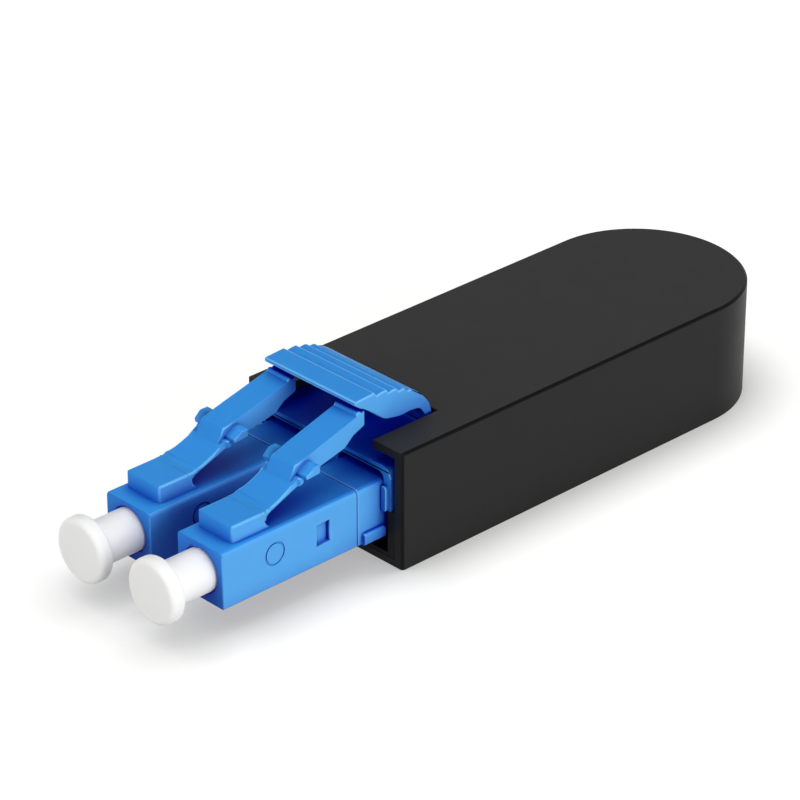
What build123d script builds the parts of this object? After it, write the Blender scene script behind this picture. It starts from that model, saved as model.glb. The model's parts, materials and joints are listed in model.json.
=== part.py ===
"""Duplex fibre loopback module: a black sleeve with a rounded end that holds two plugs and the
fibre loop that joins them. Millimetres. +Y runs from the plugs to the rounded end, +Z is up.

Lengths along Y are given from the sleeve's mouth, and the finished pieces are then moved so that the
origin lies at the middle of the whole module's length, on the surface it stands on."""
import math
import os
from build123d import *

# Plug pair
plug_pitch = 6.25
plug_axis_z = 3.6
plug_width = 3.85
plug_height = 3.7
plug_reach = 12.35
plug_seam = 2.0
plug_top_round = 0.35
plug_edge_round = 0.12

# Sleeve
sleeve_height = 7.75
sleeve_length = 33.6
side_wall = 0.7
top_wall = 0.55
floor_wall = 0.45
sleeve_edge = 0.15
notch_width = 8.4
notch_depth = 5.2

# Tray that slides into the sleeve
tray_fit = 0.03
tray_wall = 0.6
tray_side_gap = 0.32
tray_floor = 0.25
tray_wall_top = 3.55
tray_set_back = 0.05
fork_front = 2.2
fork_thickness = 0.8
fork_height = 4.6
fork_fit = 0.04
rail_width = 1.2
shelf_width = 0.8
guide_wall = 0.3
guide_rise = 0.7
fibre_seat = 0.02

# Clip over the two plugs
clip_depth = 8.0
clip_lip_height = 0.47
clip_plug_gap = 0.45
clip_side_gap = 0.05
clip_roof_fit = 0.04
clip_corner_round = 0.5
collar_set_in = 0.3
collar_flare = 1.0
collar_round = 0.75
saddle_back = 4.3
saddle_step = 0.24
saddle_sag = 0.22
pad_width = 1.8
pad_start = 0.8
tab_width = 0.45
tab_reach = 0.25
tab_height = 1.65
tab_round = 0.2
post_rise = 0.39

# Trigger: heights are above the post's top, lengths are from the mouth
trigger_side_gap = 0.28
trigger_front = 1.06
trigger_rise = 2.96
trigger_tip_drop = 0.09
trigger_lip = 0.24
lip_slant_back = 0.44
lip_slant_rise = 0.11
press_rise = 2.2
press_back = 0.71
land_back = 0.45
rib_count = 4
rib_step = 1.04
rib_narrowing = 0.08
rib_fall = 0.13
rib_curl = 0.0205
rib_valley = 0.25
rib_valley_back = 0.16
rib_crown = 0.03
trigger_arm = 0.5
trigger_arm_gap = 0.25
hinge_gap = 0.02
slope_middle = (0.86, 1.23)
belly_low = (2.48, 0.71)
belly_back = (3.72, 0.75)
arm_inside = (4.3, 0.35)
shoulder_outside = (4.45, 1.21)
shoulder_start = (1, -0.4)
slope_end = (-1, 0.6)

# Latch: lengths are from its hinge, heights are above the plug's top
latch_width = 2.9
latch_root_front = 1.15
latch_root_length = 2.55
latch_root_height = 1.05
latch_hinge_height = 0.45
latch_toe_in = 1.5
slot_back = 0.3
slot_belly = 0.09
undercut = (0.57, 0.91)
undercut_bulge = (0.09, 0.72)
ramp_middle = (1.75, 1.6)
ramp_end = (2.65, 2.12)
strip_end = (2.95, 2.12)
strip_under = (2.98, 1.68)
ear_width = 3.72
ear_low = (2.9, 2.08)
ear_lip = (2.86, 2.3)
ear_peak = (3.45, 2.74)
ear_back_top = (3.92, 2.74)
ear_back_low = (3.92, 2.16)
ear_round = 0.15
waist = 0.14
waist_back = 2.6
waist_end = 2.72
arm_width = 1.96
arm_foot = (2.1, 1.6)
arm_brow = (2.75, 2.73)
arm_belly = (4.85, 1.92)
arm_brow_round = 0.15
arm_end_depth = 1.01
press_gap = 0.11
press_lap = 0.04
end_heel = (0.85, 1.32)
end_neck = (1.53, 1.88)
ridge_round = 0.2
ridge_back = 0.38
ridge_drop = 0.14

# Side window and round moulding mark
window_length = 0.97
window_height = 1.35
window_depth = 0.35
window_back = 2.15
window_lift = 0.12
mark_radius = 0.75
mark_line = 0.12
mark_depth = 0.06
mark_back = 6.4
mark_lift = 0.3

# Ferrule, its flange and spring
ferrule_radius = 0.625
ferrule_reach = 2.95
ferrule_length = 7.1
ferrule_chamfer = 0.12
nose_bore = 1.4
nose_depth = 3.3
nose_shoulder = 0.5
flange_neck = 0.95
flange_neck_length = 0.75
flange_radius = 1.2
flange_length = 1.25
flange_tail = 0.72
flange_tail_grip = 2.9
fibre_bore = 0.52
slide_fit = 0.04
chamber_bore = 1.35
spring_wire = 0.22
spring_mean = 1.0
spring_turns = 4
spring_wire_sides = 5
ferrule_travel = 0.5

# Rear body and boot
rear_plug_length = 1.2
rear_plug_fit = 0.04
rear_collar = 0.9
rear_groove = 0.4
rear_neck = 1.1
rear_neck_length = 2.4
lug_out = 0.26
lug_height = 0.78
lug_length = 1.66
lug_front = 0.32
lug_round = 0.15
lug_foot = 0.02
boot_radius = 1.55
boot_tip = 0.95
boot_length = 5.2
boot_fit = 0.02
boot_rings = 3
boot_ring_depth = 0.18
boot_ring_rise = 0.12
boot_ring_front = 0.35
boot_ring_back = 0.65

# Fibre loop
fibre_radius = 0.45
fibre_sides = 12
loop_wall_gap = 0.22
loop_back_gap = 0.9
fibre_end_gap = 0.2
bend_share = 0.45
straight_run = 2.0

# Dust cap
cap_radius = 2.04
cap_head = 1.0
cap_head_edge = 0.18
cap_shaft_fit = 0.04
cap_reach = 3.7
cap_insert = 1.6
cap_bore_fit = 0.03
cap_tip_gap = 0.05

# Values worked out from the sizes above
plug_side = plug_pitch / 2 + plug_width / 2
plug_bottom = plug_axis_z - plug_height / 2
plug_top = plug_axis_z + plug_height / 2
plug_front = -plug_reach
seam_y = -plug_seam
tray_inner = plug_side + tray_side_gap
tray_half = tray_inner + tray_wall
cavity_half = tray_half + tray_fit
sleeve_half = cavity_half + side_wall
round_centre = sleeve_length - sleeve_half
roof_z = sleeve_height - top_wall
fork_back = fork_front + fork_thickness
clip_under = plug_top + clip_plug_gap
clip_half = cavity_half - tray_fit
clip_inner = plug_side + clip_side_gap
clip_top = roof_z - clip_roof_fit
saddle_front_z = clip_under + clip_lip_height
saddle_back_z = clip_top - saddle_step
post_top = clip_top + post_rise
arm_back = notch_depth - trigger_arm_gap
arm_front = arm_back - trigger_arm
trigger_width = notch_width - 2 * trigger_side_gap
press_y = press_back - trigger_front
press_z = post_top + press_rise
latch_root_y = plug_front + latch_root_front
hinge_y = latch_root_y + latch_root_length
hinge_z = plug_top + latch_hinge_height
latch_root_top = plug_top + latch_root_height
latch_end_y = press_y - press_lap
latch_end_z = press_z - press_gap
shoulder_front = plug_front + nose_depth
shoulder_back = shoulder_front + nose_shoulder
flange_back = shoulder_back + flange_length
ferrule_tip = plug_front - ferrule_reach
ferrule_end = ferrule_tip + ferrule_length
tail_end = ferrule_end + flange_tail_grip
rear_plug_front = seam_y - rear_plug_length
rear_body_back = fork_back + rear_collar
neck_end = rear_body_back + rear_neck_length
boot_end = rear_body_back + boot_length
cap_shaft = nose_bore - cap_shaft_fit
cap_front = plug_front - cap_reach
cap_inner_end = plug_front + cap_insert
module_middle = (cap_front + sleeve_length) / 2
loop_radius = tray_inner - loop_wall_gap - fibre_radius
loop_centre = round_centre + tray_inner - loop_back_gap - fibre_radius - loop_radius
BEYOND = 1.0
SUNK = 0.25
NEAR = 0.01
HAIR = 0.001


def bench(shape):
    """Moves a finished piece from the mouth's frame to the module's own origin."""
    return Pos(0, -module_middle, 0) * shape


def side_face(*edges):
    """A face in the vertical plane along Y, from edges given as (y, z) shapes."""
    pieces = [edge for shape in edges for edge in shape.edges()]
    return Plane.YZ * make_face(Wire(pieces))


def side_plate(face, width):
    """A side face made solid, half of the width to each side of its plane."""
    return extrude(face, amount=width / 2, both=True)


def bar(x_low, x_high, y_low, y_high, z_low, z_high):
    """A block between two corners."""
    size = (x_high - x_low, y_high - y_low, z_high - z_low)
    middle = ((x_low + x_high) / 2, (y_low + y_high) / 2, (z_low + z_high) / 2)
    return Pos(*middle) * Box(*size)


def rod(radius, y_low, y_high):
    """A round bar along Y on a plug's axis, standing at x = 0."""
    turned = Rot(-90, 0, 0) * Cylinder(radius, y_high - y_low)
    return Pos(0, (y_low + y_high) / 2, plug_axis_z) * turned


def turned_piece(*outline):
    """A piece turned about a plug's axis, from (y, radius) corners that start and end on the axis."""
    face = Plane.YZ * make_face(Polyline(*outline, close=True))
    spun = revolve(face, Axis.Y)
    return Pos(0, 0, plug_axis_z) * spun


def long_edges(shape, z_level):
    """The shape's straight edges along Y at one height."""
    edges = shape.edges().filter_by(Axis.Y)
    return edges.filter_by(lambda e: abs(e.center().Z - z_level) < NEAR)


def rounded_end_outline(half_width, y_front):
    """A rectangle that ends in a half circle about the sleeve's round centre."""
    straight = Pos(0, (y_front + round_centre) / 2) * Rectangle(2 * half_width, round_centre - y_front)
    return straight + Pos(0, round_centre) * Circle(half_width)


def housing_shell():
    """One-piece sleeve: open mouth, notch in the roof, full-round rear end."""
    body = extrude(rounded_end_outline(sleeve_half, 0), amount=sleeve_height)
    rims = body.edges().filter_by(lambda e: abs(e.center().Z - sleeve_height) < NEAR
                                  and e.center().Y > NEAR)
    mouth_corners = body.edges().filter_by(Axis.Z).filter_by(lambda e: abs(e.center().Y) < NEAR)
    body = chamfer(rims + mouth_corners, sleeve_edge)
    cavity = extrude(rounded_end_outline(cavity_half, -BEYOND), amount=roof_z - floor_wall)
    cavity = Pos(0, 0, floor_wall) * cavity
    notch = bar(-notch_width / 2, notch_width / 2, -BEYOND, notch_depth, clip_under, sleeve_height + BEYOND)
    return body - cavity - notch


def inner_tray():
    """Open tray with rails and a fork for the plugs, and a raised track for the fibre's turn."""
    deck = extrude(rounded_end_outline(tray_half, tray_set_back), amount=tray_wall_top - floor_wall)
    hollow = Pos(0, 0, tray_floor) * extrude(
        rounded_end_outline(tray_inner, tray_set_back - BEYOND), amount=tray_wall_top)
    tray = Pos(0, 0, floor_wall) * (deck - hollow)
    foot_z = floor_wall + tray_floor / 2
    fork = bar(-tray_inner - tray_fit, tray_inner + tray_fit, fork_front, fork_back, foot_z, tray_wall_top)
    horn_half = clip_inner - tray_fit
    fork += bar(-horn_half, horn_half, fork_front, fork_back, foot_z, fork_height)
    slot_half = plug_width / 2 - rear_groove + fork_fit
    slot_bottom = plug_bottom + rear_groove - fork_fit
    rails = []
    for x in (-plug_pitch / 2, plug_pitch / 2):
        fork -= bar(x - slot_half, x + slot_half, fork_front - BEYOND, fork_back + BEYOND,
                    slot_bottom, fork_height + BEYOND)
        for y_low, y_high in ((fork_front - rail_width, fork_front), (fork_back, rear_body_back)):
            rails.append(bar(x - rail_width / 2, x + rail_width / 2, y_low, y_high, foot_z, plug_bottom))
    shelf_top = plug_axis_z - fibre_radius - fibre_seat
    track_inner = loop_radius - fibre_radius - fibre_seat
    tray += fork
    tray += half_ring(track_inner, track_inner + shelf_width, foot_z, shelf_top)
    tray += half_ring(track_inner - guide_wall, track_inner, foot_z, plug_axis_z + guide_rise)
    for rail in rails:
        tray += rail
    return tray


def half_ring(inner, outer, z_low, z_high):
    """The rear half of an upright ring wall about the loop's centre."""
    ring = Circle(outer) - Circle(inner)
    rear = ring & (Pos(0, outer) * Rectangle(2 * outer + BEYOND, 2 * outer))
    return Pos(0, loop_centre, z_low) * extrude(rear, amount=z_high - z_low)


def duplex_clip():
    """Bridge over both plugs: front lip, hollow saddle, side arms with grip tabs, trigger post."""
    lip = (0, saddle_front_z)
    heel = (saddle_back, saddle_back_z)
    dip = (saddle_back / 2, (saddle_front_z + saddle_back_z) / 2 - saddle_sag)
    profile = side_face(
        Line((0, tray_wall_top), lip),
        ThreePointArc(lip, dip, heel),
        Polyline(heel, (saddle_back, clip_top), (clip_depth, clip_top), (clip_depth, tray_wall_top),
                 (0, tray_wall_top)))
    body = side_plate(profile, 2 * clip_half)
    collar_low = tray_wall_top - 2 * BEYOND
    collar = RectangleRounded(2 * (clip_half - collar_set_in), saddle_front_z - collar_low, collar_round)
    collar_plane = Plane(origin=(0, 0, (saddle_front_z + collar_low) / 2), x_dir=(1, 0, 0), z_dir=(0, 1, 0))
    flare_angle = math.degrees(math.atan(collar_set_in / collar_flare))
    flare = extrude(collar_plane * collar, amount=collar_flare, taper=-flare_angle)
    body -= bar(-cavity_half, cavity_half, 0, collar_flare, tray_wall_top - BEYOND, clip_top) - flare
    tunnel = bar(-clip_inner, clip_inner, -BEYOND, clip_depth + BEYOND, tray_wall_top - BEYOND, clip_under)
    body -= fillet(long_edges(tunnel, clip_under), clip_corner_round)
    body += bar(-trigger_width / 2, trigger_width / 2, arm_front, arm_back,
                clip_top - clip_lip_height, post_top)
    for x in (-plug_pitch / 2, plug_pitch / 2):
        body += bar(x - pad_width / 2, x + pad_width / 2, pad_start, rear_body_back,
                    plug_top, clip_under + clip_lip_height / 2)
    tab = bar(clip_inner, clip_inner + tab_width, -tab_reach, tab_reach,
              tray_wall_top, tray_wall_top + tab_height)
    tab = fillet(tab.edges().filter_by(Axis.Y), tab_round)
    body += tab
    body += mirror(tab, Plane.YZ)
    return body


def above_post(point):
    """A trigger point, given from the mouth and above the post's top, as (y, z)."""
    return (point[0], post_top + point[1])


def rib_crest(index):
    """The rib crest with this number as (y, z), counted from the front land's rear edge."""
    y = land_back + rib_step * index - rib_narrowing * index ** 2
    fall = rib_fall * index + rib_curl * index ** 2
    return above_post((y, trigger_rise - fall))


def clip_trigger():
    """Ribbed thumb plate on a curved arm, hinged on the clip's post."""
    tip_top = above_post((-trigger_front, trigger_rise - trigger_tip_drop))
    tip_low = (tip_top[0], tip_top[1] - trigger_lip)
    slant_end = (tip_low[0] + lip_slant_back, press_z + lip_slant_rise)
    crests = [rib_crest(i) for i in range(rib_count + 1)]
    edges = [Line(tip_top, crests[0])]
    for crest, following in zip(crests, crests[1:]):
        valley = (crest[0] + rib_valley_back, crest[1] - rib_valley)
        crown = ((valley[0] + following[0]) / 2, (valley[1] + following[1]) / 2 + rib_crown)
        edges.append(Line(crest, valley))
        edges.append(ThreePointArc(valley, crown, following))
    foot_z = post_top + hinge_gap
    edges.append(Spline(crests[-1], above_post(shoulder_outside), (arm_back, foot_z),
                        tangents=[shoulder_start, (0, -1)]))
    edges.append(Line((arm_back, foot_z), (arm_front, foot_z)))
    edges.append(Spline((arm_front, foot_z), above_post(arm_inside), above_post(belly_back),
                        tangents=[(0, 1), (-1, 0)]))
    edges.append(Spline(above_post(belly_back), above_post(belly_low), above_post(slope_middle),
                        (press_y, press_z), tangents=[(-1, 0), slope_end]))
    edges.append(Polyline((press_y, press_z), slant_end, tip_low, tip_top))
    return side_plate(side_face(*edges), trigger_width)


def front_body():
    """Plug body: square nose with its bore, latch root block, windows, moulding mark."""
    body = bar(-plug_width / 2, plug_width / 2, plug_front, seam_y, plug_bottom, plug_top)
    body = fillet(long_edges(body, plug_top), plug_top_round)
    body = fillet(long_edges(body, plug_bottom), plug_edge_round)
    nose = body.edges().filter_by(lambda e: abs(e.center().Y - plug_front) < NEAR)
    body = chamfer(nose, plug_edge_round / 2)
    sunk_z = plug_top - SUNK
    slot_end = (hinge_y + slot_back, plug_top)
    root_face = side_face(
        Polyline((latch_root_y, sunk_z), (latch_root_y, latch_root_top), (hinge_y, latch_root_top),
                 (hinge_y, hinge_z)),
        ThreePointArc((hinge_y, hinge_z), (hinge_y + slot_belly, (hinge_z + plug_top) / 2), slot_end),
        Polyline(slot_end, (slot_end[0], sunk_z), (latch_root_y, sunk_z)))
    root = side_plate(root_face, latch_width)
    rim = root.edges().filter_by(lambda e: abs(e.center().Y - latch_root_y) < NEAR
                                 and e.center().Z > plug_top)
    root = chamfer(rim, plug_edge_round)
    body += root
    body -= rod(nose_bore, plug_front - BEYOND, shoulder_front)
    body -= rod(flange_neck + slide_fit, shoulder_front - BEYOND, shoulder_back + BEYOND)
    body -= rod(chamber_bore, shoulder_back, seam_y + BEYOND)
    window_y = seam_y - window_back
    window_z = plug_axis_z + window_lift
    for side in (-1, 1):
        window = bar(-window_depth, window_depth, window_y - window_length, window_y,
                     window_z - window_height / 2, window_z + window_height / 2)
        body -= Pos(side * plug_width / 2, 0, 0) * window
    ring = Circle(mark_radius) - Circle(mark_radius - mark_line)
    mark_plane = Plane(origin=(plug_width / 2, seam_y - mark_back, plug_axis_z + mark_lift),
                       x_dir=(0, 1, 0), z_dir=(1, 0, 0))
    body -= extrude(mark_plane * ring, amount=mark_depth, both=True)
    return body


def on_latch(point):
    """A latch point, given from the hinge and above the plug's top, as (y, z)."""
    return (hinge_y + point[0], plug_top + point[1])


def latch(side):
    """Latch on one side: thin strip with two ears, then a narrower arm that leans to the middle."""
    start_y = hinge_y - SUNK
    top_start = (hinge_y, latch_root_top)
    low_start = (hinge_y, hinge_z)
    strip = side_face(
        Polyline(low_start, (start_y, hinge_z), (start_y, latch_root_top), top_start),
        ThreePointArc(top_start, on_latch(ramp_middle), on_latch(ramp_end)),
        Polyline(on_latch(ramp_end), on_latch(strip_end), on_latch(strip_under), on_latch(undercut)),
        ThreePointArc(on_latch(undercut), on_latch(undercut_bulge), low_start))
    end_top = (latch_end_y, latch_end_z)
    arm_face = side_face(
        Polyline(on_latch(arm_foot), on_latch(arm_brow), end_top,
                 (latch_end_y, latch_end_z - arm_end_depth),
                 (latch_end_y - end_heel[0], latch_end_z - end_heel[1]),
                 (latch_end_y - end_neck[0], latch_end_z - end_neck[1]),
                 on_latch(arm_belly), on_latch(strip_under), on_latch(arm_foot)))
    arm = side_plate(arm_face, arm_width)
    brow_y, brow_z = on_latch(arm_brow)
    brow = arm.edges().filter_by(lambda e: abs(e.center().Y - brow_y) < NEAR
                                 and abs(e.center().Z - brow_z) < NEAR)
    arm = fillet(brow, arm_brow_round)
    ear_face = side_face(Polyline(*[on_latch(point) for point in (
        ear_low, ear_lip, ear_peak, ear_back_top, ear_back_low)], close=True))
    ears = side_plate(ear_face, ear_width)
    peak_y, peak_z = on_latch(ear_peak)
    crown = ears.edges().filter_by(lambda e: e.center().Y > peak_y - NEAR and e.center().Z > peak_z - NEAR)
    ears = fillet(crown, ear_round)
    ridge = Pos(0, latch_end_y - ridge_back, latch_end_z - ridge_drop) * (
        Rot(0, 90, 0) * Cylinder(ridge_round, arm_width))
    half = latch_width / 2
    plan = [(half, start_y), (half, hinge_y), (half - waist, hinge_y + waist_back),
            (half, hinge_y + waist_end), (half, 0)]
    outline = make_face(Polyline(*plan, *[(-x, y) for x, y in reversed(plan)], close=True))
    waisted = side_plate(strip, latch_width) & (Pos(0, 0, plug_top) * extrude(outline, amount=latch_end_z))
    body = waisted + ears + arm + ridge
    body = Pos(0, hinge_y, 0) * (Rot(0, 0, side * latch_toe_in) * (Pos(0, -hinge_y, 0) * body))
    return body - bar(-latch_width, latch_width, hinge_y - BEYOND, hinge_y + hinge_gap,
                      plug_top, latch_root_top + BEYOND)


def ferrule():
    """Ceramic pin with a chamfered tip."""
    return turned_piece((ferrule_tip, 0), (ferrule_tip, ferrule_radius - ferrule_chamfer),
                        (ferrule_tip + ferrule_chamfer, ferrule_radius),
                        (ferrule_end, ferrule_radius), (ferrule_end, 0))


def ferrule_flange():
    """Metal holder: neck through the nose shoulder, seated flange, tail tube for the fibre."""
    neck_front = shoulder_front - flange_neck_length
    body = turned_piece((neck_front, 0), (neck_front, flange_neck), (shoulder_back, flange_neck),
                        (shoulder_back, flange_radius), (flange_back, flange_radius),
                        (flange_back, flange_tail), (tail_end, flange_tail), (tail_end, 0))
    body -= rod(ferrule_radius, neck_front - BEYOND, ferrule_end)
    return body - rod(fibre_bore, ferrule_end, tail_end + BEYOND)


def ferrule_spring():
    """Coil spring between the flange and the rear body's plug."""
    end_room = spring_wire / 2 + slide_fit / 2
    start = flange_back + end_room
    length = rear_plug_front - end_room - start
    path = Helix(pitch=length / spring_turns, height=length, radius=spring_mean)
    section = Plane(origin=path @ 0, z_dir=path % 0) * RegularPolygon(spring_wire / 2, spring_wire_sides)
    coil = sweep(section, path=path)
    return Pos(0, start, plug_axis_z) * (Rot(-90, 0, 0) * coil)


def rear_body():
    """Rear of the plug: spring stop, shoulder with lugs, groove for the fork, crimp neck."""
    body = bar(-plug_width / 2, plug_width / 2, seam_y, rear_body_back, plug_bottom, plug_top)
    body = fillet(long_edges(body, plug_top), plug_top_round)
    body = fillet(long_edges(body, plug_bottom), plug_edge_round)
    inner_half = plug_width / 2 - rear_groove
    band = bar(-plug_width, plug_width, fork_front, fork_back, plug_bottom - BEYOND, fork_height)
    band -= bar(-inner_half, inner_half, fork_front - BEYOND, fork_back + BEYOND,
                plug_bottom + rear_groove, fork_height + BEYOND)
    body -= band
    body += rod(chamber_bore - rear_plug_fit, rear_plug_front, seam_y)
    body += rod(rear_neck, rear_body_back, neck_end)
    lug_low = plug_bottom + lug_foot
    lug_start = seam_y + lug_front
    for side in (-1, 1):
        x_in = side * (plug_width / 2 - SUNK)
        x_out = side * (plug_width / 2 + lug_out)
        lug = bar(min(x_in, x_out), max(x_in, x_out), lug_start, lug_start + lug_length,
                  lug_low, lug_low + lug_height)
        outer = lug.edges().filter_by(Axis.Y).filter_by(
            lambda e: abs(e.center().X - x_out) < NEAR and e.center().Z > lug_low + NEAR)
        body += fillet(outer, lug_round)
    return body - rod(fibre_bore, rear_plug_front - BEYOND, neck_end + BEYOND)


def fibre_boot():
    """Soft tapered sleeve over the crimp neck, with shallow rings."""
    outline = [(rear_body_back, 0), (rear_body_back, boot_radius), (neck_end, boot_radius)]
    ring_step = (boot_end - neck_end) / (boot_rings + boot_ring_front)
    taper = (boot_tip - boot_radius) / (boot_end - neck_end)
    for i in range(boot_rings):
        y = neck_end + i * ring_step
        radius = boot_radius + taper * (y - neck_end)
        outline.append((y + ring_step * boot_ring_front, radius))
        outline.append((y + ring_step * boot_ring_front, radius - boot_ring_depth))
        outline.append((y + ring_step * boot_ring_back, radius - boot_ring_depth))
        outline.append((y + ring_step * boot_ring_back, radius - boot_ring_depth + boot_ring_rise))
    outline += [(boot_end, boot_tip), (boot_end, 0)]
    body = turned_piece(*outline)
    body -= rod(rear_neck + boot_fit, rear_body_back - BEYOND, neck_end + boot_fit)
    return body - rod(fibre_bore, neck_end, boot_end + BEYOND)


def fibre_loop():
    """Buffered fibre from one ferrule to the other: straight runs joined by tangent arcs."""
    side = plug_pitch / 2
    start = ferrule_end + ferrule_travel + fibre_end_gap
    bend = boot_end + straight_run
    spread = loop_centre - straight_run
    corner = loop_centre + loop_radius
    route = [(-side, start), (-side, bend), (-loop_radius, spread), (-loop_radius, corner),
             (loop_radius, corner), (loop_radius, spread), (side, bend), (side, start)]
    drift = math.atan2(loop_radius - side, spread - bend)
    gentle = bend_share * 2 * straight_run / math.tan(drift / 2)
    turn = loop_radius - HAIR
    radii = [gentle, gentle, turn, turn, gentle, gentle]
    print("fibre bend radii", [round(r, 2) for r in radii])
    path = FilletPolyline(*[(x, y, plug_axis_z) for x, y in route], radius=radii)
    section = Plane(origin=path @ 0, z_dir=path % 0) * RegularPolygon(fibre_radius, fibre_sides)
    return sweep(section, path=path)


def dust_cap():
    """Push-on cap: disc head with rounded rims, shaft that enters the nose, blind bore."""
    body = turned_piece((cap_front, 0), (cap_front, cap_radius), (cap_front + cap_head, cap_radius),
                        (cap_front + cap_head, cap_shaft), (cap_inner_end, cap_shaft), (cap_inner_end, 0))
    rims = body.edges().filter_by(GeomType.CIRCLE).filter_by(lambda e: abs(e.radius - cap_radius) < NEAR)
    body = chamfer(rims, cap_head_edge)
    return body - rod(ferrule_radius + cap_bore_fit, ferrule_tip - cap_tip_gap, cap_inner_end + BEYOND)


def main():
    """Builds every piece and writes one file for each."""
    os.makedirs("parts", exist_ok=True)
    pieces = {
        "housing_shell": housing_shell(),
        "inner_tray": inner_tray(),
        "duplex_clip": duplex_clip(),
        "clip_trigger": clip_trigger(),
        "fibre_loop": fibre_loop(),
    }
    plug_pieces = {
        "front_body": front_body(),
        "ferrule": ferrule(),
        "ferrule_flange": ferrule_flange(),
        "ferrule_spring": ferrule_spring(),
        "rear_body": rear_body(),
        "fibre_boot": fibre_boot(),
        "dust_cap": dust_cap(),
    }
    for suffix, side in (("a", -1), ("b", 1)):
        place = Pos(side * plug_pitch / 2, 0, 0)
        for name, piece in plug_pieces.items():
            pieces[name + "_" + suffix] = place * piece
        pieces["latch_" + suffix] = place * latch(side)
    for name, piece in pieces.items():
        export_step(bench(piece), os.path.join("parts", name + ".step"))


main()
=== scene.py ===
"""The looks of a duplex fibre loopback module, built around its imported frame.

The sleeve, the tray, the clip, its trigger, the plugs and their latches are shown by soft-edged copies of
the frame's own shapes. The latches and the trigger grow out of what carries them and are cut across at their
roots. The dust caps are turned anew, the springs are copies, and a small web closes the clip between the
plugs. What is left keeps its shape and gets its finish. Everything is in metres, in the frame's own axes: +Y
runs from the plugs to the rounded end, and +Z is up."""

import json
import logging
import math
from dataclasses import dataclass, field
from enum import Enum
from typing import Any, Callable

import bmesh
import bpy
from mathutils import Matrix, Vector

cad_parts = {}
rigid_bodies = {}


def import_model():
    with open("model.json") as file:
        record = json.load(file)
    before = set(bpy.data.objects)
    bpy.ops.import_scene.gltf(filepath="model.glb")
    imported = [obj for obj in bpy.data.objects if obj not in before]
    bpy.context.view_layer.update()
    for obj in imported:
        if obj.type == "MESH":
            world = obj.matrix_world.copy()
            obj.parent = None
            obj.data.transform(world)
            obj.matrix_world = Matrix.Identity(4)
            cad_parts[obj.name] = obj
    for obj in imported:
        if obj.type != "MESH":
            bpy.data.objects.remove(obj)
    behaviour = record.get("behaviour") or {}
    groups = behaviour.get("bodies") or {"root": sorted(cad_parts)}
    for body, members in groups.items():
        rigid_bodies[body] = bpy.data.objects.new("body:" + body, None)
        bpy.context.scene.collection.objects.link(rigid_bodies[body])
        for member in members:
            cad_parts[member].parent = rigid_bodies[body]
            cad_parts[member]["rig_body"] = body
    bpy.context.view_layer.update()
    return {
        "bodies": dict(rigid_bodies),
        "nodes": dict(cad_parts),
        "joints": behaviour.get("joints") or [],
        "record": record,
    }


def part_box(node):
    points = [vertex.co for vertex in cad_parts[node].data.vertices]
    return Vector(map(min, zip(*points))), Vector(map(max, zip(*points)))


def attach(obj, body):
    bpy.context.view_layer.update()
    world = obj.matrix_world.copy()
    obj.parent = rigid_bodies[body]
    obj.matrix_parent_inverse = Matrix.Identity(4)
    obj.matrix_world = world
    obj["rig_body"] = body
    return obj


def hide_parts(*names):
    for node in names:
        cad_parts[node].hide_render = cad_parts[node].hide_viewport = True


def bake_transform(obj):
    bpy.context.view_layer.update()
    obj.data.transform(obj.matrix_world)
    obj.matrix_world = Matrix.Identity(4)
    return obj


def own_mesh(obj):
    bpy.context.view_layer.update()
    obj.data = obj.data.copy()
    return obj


LOG = logging.getLogger("loopback")
MM = 0.001

# Fineness of the mesh work: lengths in metres, angles in degrees, and cosines
NEAR = 0.0005 * MM
MERGE_BELOW = 0.001 * MM
LEVEL_WITHIN = 0.01 * MM
FLAT_BELOW = 0.5
SHARP_ABOVE = 28.0
SMOOTH_BELOW = 38.0
FACING = 0.9
IN_LINE = 0.8

# Roundings: their faces across, and the room that they need, in their own widths
ROUND_SEGMENTS = 3
ROOM_ACROSS = 2.2
ROOM_ALONG = 1.5
EVEN_WEIGHT = 100

# The material slot that marks the rounded edges while a piece is softened
ROUNDED = 1

# Patterns, and the painted light and shade
PAINTED_SHADING_ATTRIBUTE = "painted_shading"
NOISE_RANGE = (0.3, 0.7)
# Openness over which the painted crevice shade fades into the piece's own colour
PAINTED_SHADE_RANGE = (0.30, 0.87)
OPENNESS_SAMPLES = 16
PATCHES_PER_CLOUD = 3
# Faces that look this far sideways get this share of painted light
SIDEWAYS = 0.7
PAINTED_SIDE_LIGHT = 0.5

Triple = tuple[float, float, float]
Colour = Triple
Range = tuple[float, float]
Tree = bpy.types.ShaderNodeTree
Socket = bpy.types.NodeSocket


class Side(Enum):
    """The two plugs, each with the ending of its nodes' names."""

    A = "a"
    B = "b"


class Slot(Enum):
    """The record's material slots."""

    SLEEVE = "black_housing"
    TRAY = "black_tray"
    PLUG = "blue_moulding"
    CAP = "white_cap"
    PIN = "white_ceramic"
    FLANGE = "plated_metal"
    SPRING = "spring_wire"
    BOOT = "boot_rubber"
    FIBRE = "yellow_fibre"


def node_tree(name: str) -> tuple[bpy.types.Material, Tree, bpy.types.ShaderNode]:
    """Makes an empty material with one surface shader.

    Args:
        name: the material's name.

    Returns:
        The material, its nodes and links, and its main shader.
    """
    material = bpy.data.materials.new(name)
    material.use_nodes = True
    tree = material.node_tree
    shader = next(n for n in tree.nodes if n.type == "BSDF_PRINCIPLED")
    return material, tree, shader


def own_place(tree: Tree) -> Socket:
    """Gives the place on the piece, in its own coordinates."""
    return tree.nodes.new("ShaderNodeTexCoord").outputs["Object"]


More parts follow.
